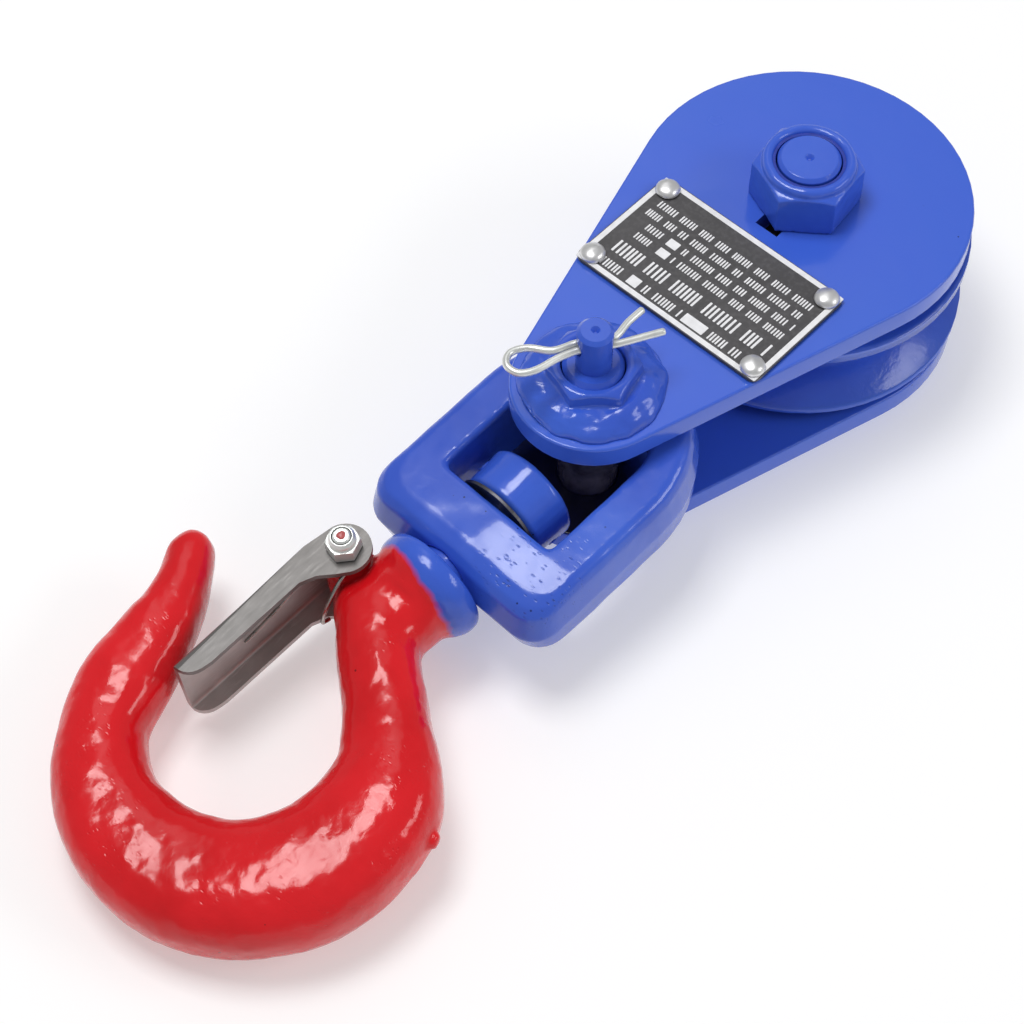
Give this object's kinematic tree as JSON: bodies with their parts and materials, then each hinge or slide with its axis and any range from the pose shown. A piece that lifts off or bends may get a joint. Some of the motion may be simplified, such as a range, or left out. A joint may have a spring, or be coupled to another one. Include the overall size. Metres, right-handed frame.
{
  "type": "crane hook block",
  "caption": "Snatch-type crane hook block: two teardrop side plates round a grooved sheave, with a swivelling latched hook.",
  "frame": {"origin": "foot of the sheave's axis, on the flat end of the centre bolt's head, which rests on the floor", "axes": "+X from the sheave to the hook, +Y to the side that the hook's bowl bulges to, +Z along the sheave's axis, up"},
  "size_m": [0.2511, 0.0904, 0.0627],
  "materials": {
    "blue_paint": "gloss",
    "red_paint": "gloss",
    "bare_steel": "satin",
    "zinc_plate": "bright",
    "dark_steel": "satin",
    "bronze": "satin",
    "nylon": "satin",
    "sign_plate": "satin"
  },
  "bodies": {
    "frame": {"front_side_plate": "blue_paint", "back_side_plate": "blue_paint", "centre_bolt": "blue_paint", "centre_lock_nut": "blue_paint", "lock_nut_insert": "nylon", "load_pin": "blue_paint", "pin_boss": "blue_paint", "pin_boss_weld": "blue_paint", "cotter_pin": "zinc_plate", "nameplate": "sign_plate", "nameplate_rivet_1": "zinc_plate", "nameplate_rivet_2": "zinc_plate", "nameplate_rivet_3": "zinc_plate", "nameplate_rivet_4": "zinc_plate"},
    "sheave": {"sheave": "blue_paint", "sheave_bushing": "bronze"},
    "link": {"swivel_link": "blue_paint"},
    "hook": {"crane_hook": "red_paint", "swivel_nut": "blue_paint", "swivel_nut_pin": "blue_paint", "swivel_washer": "dark_steel", "latch_bolt": "zinc_plate", "latch_nut": "zinc_plate", "latch_spring": "bare_steel"},
    "latch": {"hook_latch": "bare_steel"}
  },
  "joints": [
    {"name": "sheave_spin", "type": "hinge", "parent": "frame", "child": "sheave", "pos_m": [0, 0, 0.02585], "axis": [0, 0, 1], "continuous": true},
    {"name": "link_swing", "type": "hinge", "parent": "frame", "child": "link", "pos_m": [0.0702, 0, 0.0267], "axis": [0, 0, 1], "range_deg": [-82.5, 87.5]},
    {"name": "hook_swivel", "type": "hinge", "parent": "link", "child": "hook", "pos_m": [0.07024, 0.001, 0.0267], "axis": [0.9916, -0.0433, -0.1219], "continuous": true},
    {"name": "latch_hinge", "type": "hinge", "parent": "hook", "child": "latch", "pos_m": [0.12763, -0.01582, 0.01957], "axis": [0.1218, -0.0053, 0.9925], "range_deg": [0, 42], "stiffness_Nm_per_rad": 0.05, "springref_deg": -20.05, "deforming": ["latch_spring"]}
  ]
}
